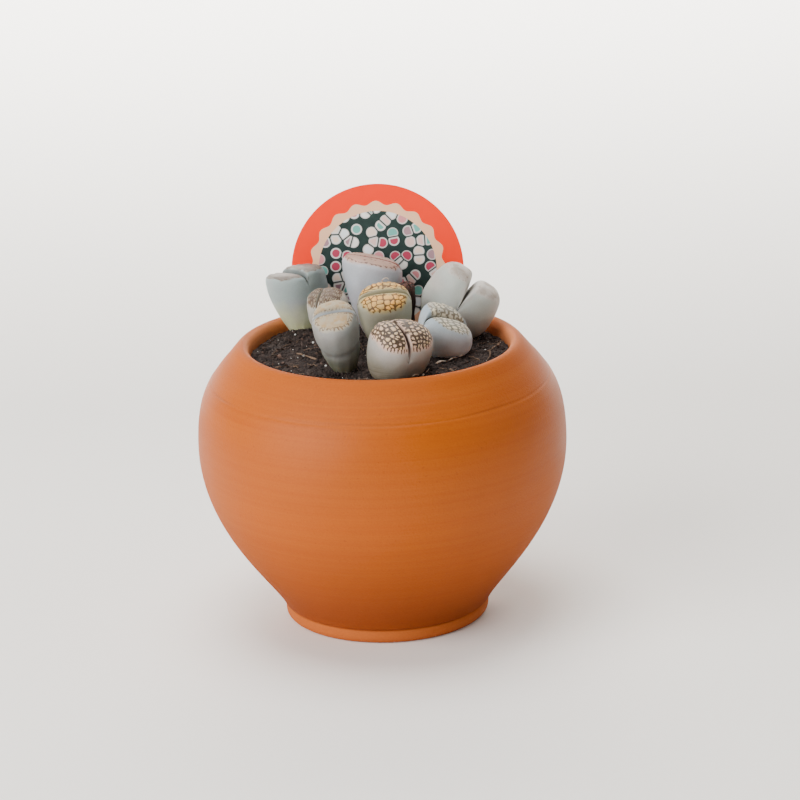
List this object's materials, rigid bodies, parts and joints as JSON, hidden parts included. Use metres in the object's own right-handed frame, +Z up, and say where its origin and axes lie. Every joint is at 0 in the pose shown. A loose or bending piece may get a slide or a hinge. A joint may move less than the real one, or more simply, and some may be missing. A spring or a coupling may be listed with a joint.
{
  "type": "potted lithops",
  "caption": "Clump of split-topped, stone-like succulents in a round terracotta pot of soil, with a round push-in plant label behind them.",
  "frame": {"origin": "centre of the pot's flat foot, on the surface that it stands on", "axes": "+Z up; -Y is the front, from which the picture is taken; +X to the right"},
  "size_m": [0.15, 0.15, 0.1686],
  "materials": {
    "terracotta": "matte unglazed fired clay with faint throwing rings",
    "soil": "dark moist potting soil with white perlite and brown fibres",
    "label_plastic": null,
    "skin_blue_grey": "matte waxy plant skin",
    "skin_cream": "matte wrinkled plant skin",
    "skin_green_grey": "matte waxy plant skin",
    "skin_lilac": "matte waxy plant skin",
    "skin_yellow": "matte plant skin with a brown network",
    "skin_spotted": "matte plant skin with cream spots on brown",
    "skin_chalky": "matte chalky plant skin",
    "dried_leaf": "dry papery leaf remains"
  },
  "bodies": {
    "root": {"pot": "terracotta", "soil": "soil", "plant_label": "label_plastic", "lithops_far_left": "skin_blue_grey", "lithops_small_wrinkled": "skin_cream", "lithops_tall": "skin_green_grey", "lithops_back": "skin_lilac", "lithops_centre": "skin_yellow", "lithops_front": "skin_spotted", "lithops_right": "skin_blue_grey", "lithops_far_right": "skin_chalky", "withered_head": "dried_leaf", "dried_sheath_right": "dried_leaf", "dried_sheath_front": "dried_leaf"}
  },
  "joints": []
}
